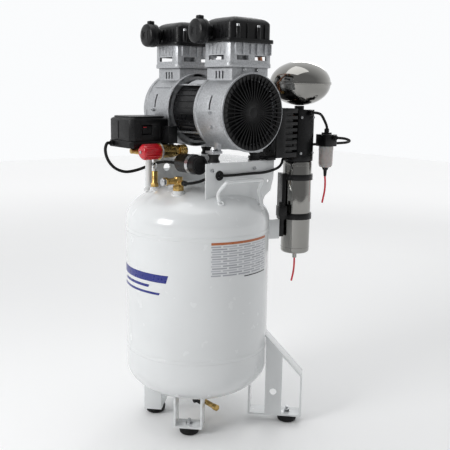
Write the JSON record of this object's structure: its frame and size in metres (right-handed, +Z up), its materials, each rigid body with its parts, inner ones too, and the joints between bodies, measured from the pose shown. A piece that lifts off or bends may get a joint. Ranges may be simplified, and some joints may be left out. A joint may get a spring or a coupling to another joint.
{
  "type": "twin stack compressor",
  "caption": "Vertical-tank oil-free air compressor with two upright cylinders on one motor and an air dryer at the back.",
  "frame": {"origin": "on the floor, under the middle of the machine's outer box without the hanging drain tubes", "axes": "+Z up through the tank, +X along the motor shaft towards the right-hand cylinder, -Y to the control side, +Y to the dryer"},
  "size_m": [0.4454, 0.596, 1.066],
  "materials": {
    "white_paint": "high gloss powder coat",
    "rubber": "matt",
    "cast_aluminium": "bead blasted casting",
    "black_paint": "semi gloss",
    "black_casting": "black coated casting",
    "black_plastic": "fine grain",
    "steel": "turned",
    "brass": "machined",
    "copper": "drawn copper pipe",
    "chrome": "mirror polish",
    "red_plastic": "gloss",
    "red_tube": "smooth",
    "bowl_plastic": "translucent"
  },
  "bodies": {
    "machine": {"tank_shell": "white_paint", "leg_front_right": "white_paint", "foot_front_right": "rubber", "leg_front_left": "white_paint", "foot_front_left": "rubber", "leg_rear_right": "white_paint", "foot_rear_right": "rubber", "leg_rear_left": "white_paint", "foot_rear_left": "rubber", "handle_right": "white_paint", "handle_left": "white_paint", "motor_platform": "white_paint", "isolator_front_right": "rubber", "isolator_rear_right": "rubber", "isolator_front_left": "rubber", "isolator_rear_left": "rubber", "motor_stator": "black_paint", "crankcase_right": "cast_aluminium", "cylinder_right": "cast_aluminium", "cylinder_head_right": "black_casting", "intake_filter_right": "black_plastic", "fan_guard_right": "black_plastic", "crankcase_left": "cast_aluminium", "cylinder_left": "cast_aluminium", "cylinder_head_left": "black_casting", "intake_filter_left": "black_plastic", "fan_guard_left": "black_plastic", "aftercooler": "black_casting", "discharge_pipe": "copper", "switch_base": "black_plastic", "switch_cover": "black_plastic", "regulator_manifold": "brass", "outlet_coupler": "brass", "run_capacitor": "black_plastic", "motor_cable": "rubber", "check_valve": "brass", "safety_valve": "brass", "drain_valve": "steel", "dryer_head": "black_casting", "condenser_vessel": "chrome", "dryer_canister": "chrome", "canister_bracket": "black_paint", "filter_head": "black_plastic", "filter_bowl": "bowl_plastic", "filter_inlet_hose": "rubber", "filter_outlet_hose": "rubber", "delivery_hose": "rubber", "canister_drain_tube": "red_tube", "filter_drain_tube": "red_tube"},
    "rotor": {"rotor_shaft": "steel", "end_fan_right": "black_plastic", "end_fan_left": "black_plastic"},
    "piston_right": {"piston_right": "cast_aluminium"},
    "piston_left": {"piston_left": "cast_aluminium"},
    "regulator_knob": {"regulator_knob": "red_plastic"},
    "switch_rocker": {"switch_rocker": "black_plastic"},
    "coupler_sleeve": {"coupler_sleeve": "brass"},
    "safety_pull_ring": {"safety_pull_ring": "steel"},
    "drain_handle": {"drain_handle": "black_plastic"},
    "cooler_fan": {"cooler_fan": "black_plastic"}
  },
  "joints": [
    {"name": "rotor_spin", "type": "hinge", "parent": "machine", "child": "rotor", "pos_m": [0.004, -0.05555, 0.837], "axis": [1, 0, 0], "continuous": true},
    {"name": "piston_right_travel", "type": "slide", "parent": "machine", "child": "piston_right", "axis": [0, 0, 1], "range_m": [-0.012, 0.012]},
    {"name": "piston_left_travel", "type": "slide", "parent": "machine", "child": "piston_left", "axis": [0, 0, 1], "range_m": [-0.012, 0.012]},
    {"name": "regulator_knob_turn", "type": "hinge", "parent": "machine", "child": "regulator_knob", "pos_m": [-0.013, -0.23105, 0.735], "axis": [0, 1, 0], "range_deg": [-270, 270]},
    {"name": "switch_rocker_tilt", "type": "hinge", "parent": "machine", "child": "switch_rocker", "pos_m": [-0.039, -0.22455, 0.788], "axis": [0, 0, 1], "range_deg": [-7, 7]},
    {"name": "coupler_sleeve_slide", "type": "slide", "parent": "machine", "child": "coupler_sleeve", "axis": [0, -1, 0], "range_m": [0, 0.005], "stiffness_N_per_m": 300},
    {"name": "safety_ring_pull", "type": "slide", "parent": "machine", "child": "safety_pull_ring", "axis": [0, 0, 1], "range_m": [0, 0.005], "stiffness_N_per_m": 300},
    {"name": "drain_handle_turn", "type": "hinge", "parent": "machine", "child": "drain_handle", "pos_m": [0.016, -0.10385, 0.0487], "axis": [0, 1, 0], "range_deg": [0, 90]},
    {"name": "cooler_fan_spin", "type": "hinge", "parent": "machine", "child": "cooler_fan", "pos_m": [0.08907, 0.07445, 0.7818], "axis": [0, 1, 0], "continuous": true}
  ],
  "couplings": [
    {"joint": "piston_left_travel", "follows": "piston_right_travel", "ratio": -1}
  ]
}
